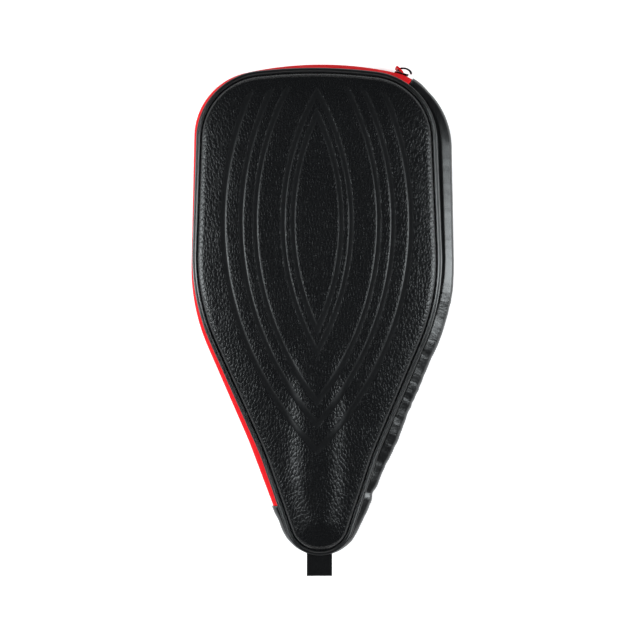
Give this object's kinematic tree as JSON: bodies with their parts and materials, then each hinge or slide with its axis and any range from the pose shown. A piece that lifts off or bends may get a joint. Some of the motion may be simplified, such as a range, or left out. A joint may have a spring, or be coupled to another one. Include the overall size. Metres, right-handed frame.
{
  "type": "paddle case",
  "caption": "Zipped, crowned and padded leather case for a pickleball paddle, with a folding front panel, a tapering handle end and a webbing loop at the tip.",
  "frame": {"origin": "on the back panel's flat face, which the case lies on, at the panel's centre line, level with the shoulders", "axes": "+Z out of the front panel, +Y towards the wide head end, +X towards the padded gusset side"},
  "size_m": [0.237, 0.467, 0.046],
  "materials": {
    "leather_panel": "pebbled, satin",
    "leather_piping": "smooth, satin",
    "eva_foam": "matte closed-cell foam",
    "fleece": "brushed",
    "binding_tape": "woven",
    "zip_tape": "woven, slight sheen",
    "zip_coil": "nylon",
    "zip_metal": "black plated",
    "pull_tab": "satin",
    "webbing": "ribbed"
  },
  "bodies": {
    "case": {"back_skin": "leather_panel", "back_foam": "eva_foam", "back_lining": "fleece", "back_piping": "leather_piping", "back_seam_binding": "binding_tape", "front_skin_fixed": "leather_panel", "front_foam_fixed": "eva_foam", "front_lining_fixed": "fleece", "front_piping_fixed": "leather_piping", "front_seam_binding_fixed": "binding_tape", "gusset_skin": "leather_panel", "gusset_foam": "eva_foam", "gusset_lining": "fleece", "zip_tape_back": "zip_tape", "zip_coil_back": "zip_coil", "tip_loop": "webbing"},
    "flap": {"front_skin_flap": "leather_panel", "front_foam_flap": "eva_foam", "front_lining_flap": "fleece", "front_piping_flap": "leather_piping", "front_seam_binding_flap": "binding_tape", "zip_tape_front": "zip_tape", "zip_coil_front": "zip_coil"},
    "slider": {"zip_slider": "zip_metal", "zip_slider_bridge": "zip_metal"},
    "pull": {"zip_pull": "pull_tab"}
  },
  "joints": [
    {"name": "front_panel_fold", "type": "hinge", "parent": "case", "child": "flap", "pos_m": [-0.0313, -0.1835, 0.046], "axis": [0.2837, 0.9589, 0], "range_deg": [0, 100]},
    {"name": "slider_travel", "type": "hinge", "parent": "case", "child": "slider", "pos_m": [0.0045, -0.0873, 0.023], "axis": [0, 0, 1], "range_deg": [0, 25]},
    {"name": "pull_swing", "type": "hinge", "parent": "slider", "child": "pull", "pos_m": [0.07544, 0.21927, 0.023], "axis": [0.7301, 0.6833, 0], "range_deg": [0, 170]}
  ]
}
